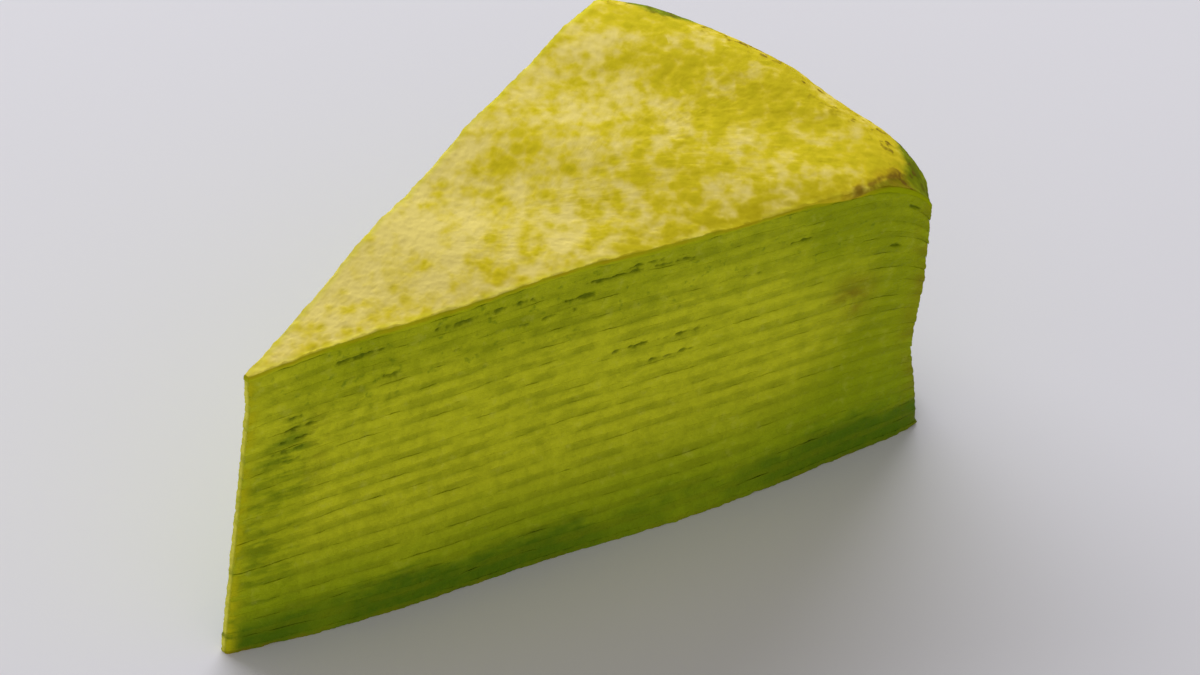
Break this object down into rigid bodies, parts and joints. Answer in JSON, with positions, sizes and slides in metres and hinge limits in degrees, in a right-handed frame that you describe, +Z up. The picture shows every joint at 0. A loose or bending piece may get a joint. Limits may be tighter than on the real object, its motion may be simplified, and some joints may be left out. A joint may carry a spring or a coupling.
{
  "type": "matcha crepe cake slice",
  "caption": "Wedge of matcha crepe cake: thin green crepes stacked with green cream, a golden mottled top crepe, two clean cuts and a rounded rim; a dessert slice that rests on its flat base.",
  "frame": {"origin": "on the plane that the slice stands on, under the middle of its box", "axes": "+X runs from the slice's tip to its rim, +Z is up, and the cut face that the picture shows is towards -Y"},
  "size_m": [0.107, 0.0604, 0.0449],
  "materials": {
    "crepe": "matte, moist cut crepe",
    "cream": "soft satin, whipped green cream",
    "foot_crepe": "matte, darker green crepe",
    "top_crepe": "matte, mottled golden fried crepe"
  },
  "bodies": {
    "root": {"crepe_01": "foot_crepe", "cream_01": "cream", "crepe_02": "crepe", "cream_02": "cream", "crepe_03": "crepe", "cream_03": "cream", "crepe_04": "crepe", "cream_04": "cream", "crepe_05": "crepe", "cream_05": "cream", "crepe_06": "crepe", "cream_06": "cream", "crepe_07": "crepe", "cream_07": "cream", "crepe_08": "crepe", "cream_08": "cream", "crepe_09": "crepe", "cream_09": "cream", "crepe_10": "crepe", "cream_10": "cream", "crepe_11": "crepe", "cream_11": "cream", "crepe_12": "crepe", "cream_12": "cream", "crepe_13": "crepe", "cream_13": "cream", "crepe_14": "crepe", "cream_14": "cream", "crepe_15": "crepe", "cream_15": "cream", "crepe_16": "crepe", "cream_16": "cream", "crepe_17": "crepe", "cream_17": "cream", "crepe_18": "top_crepe"}
  },
  "joints": []
}
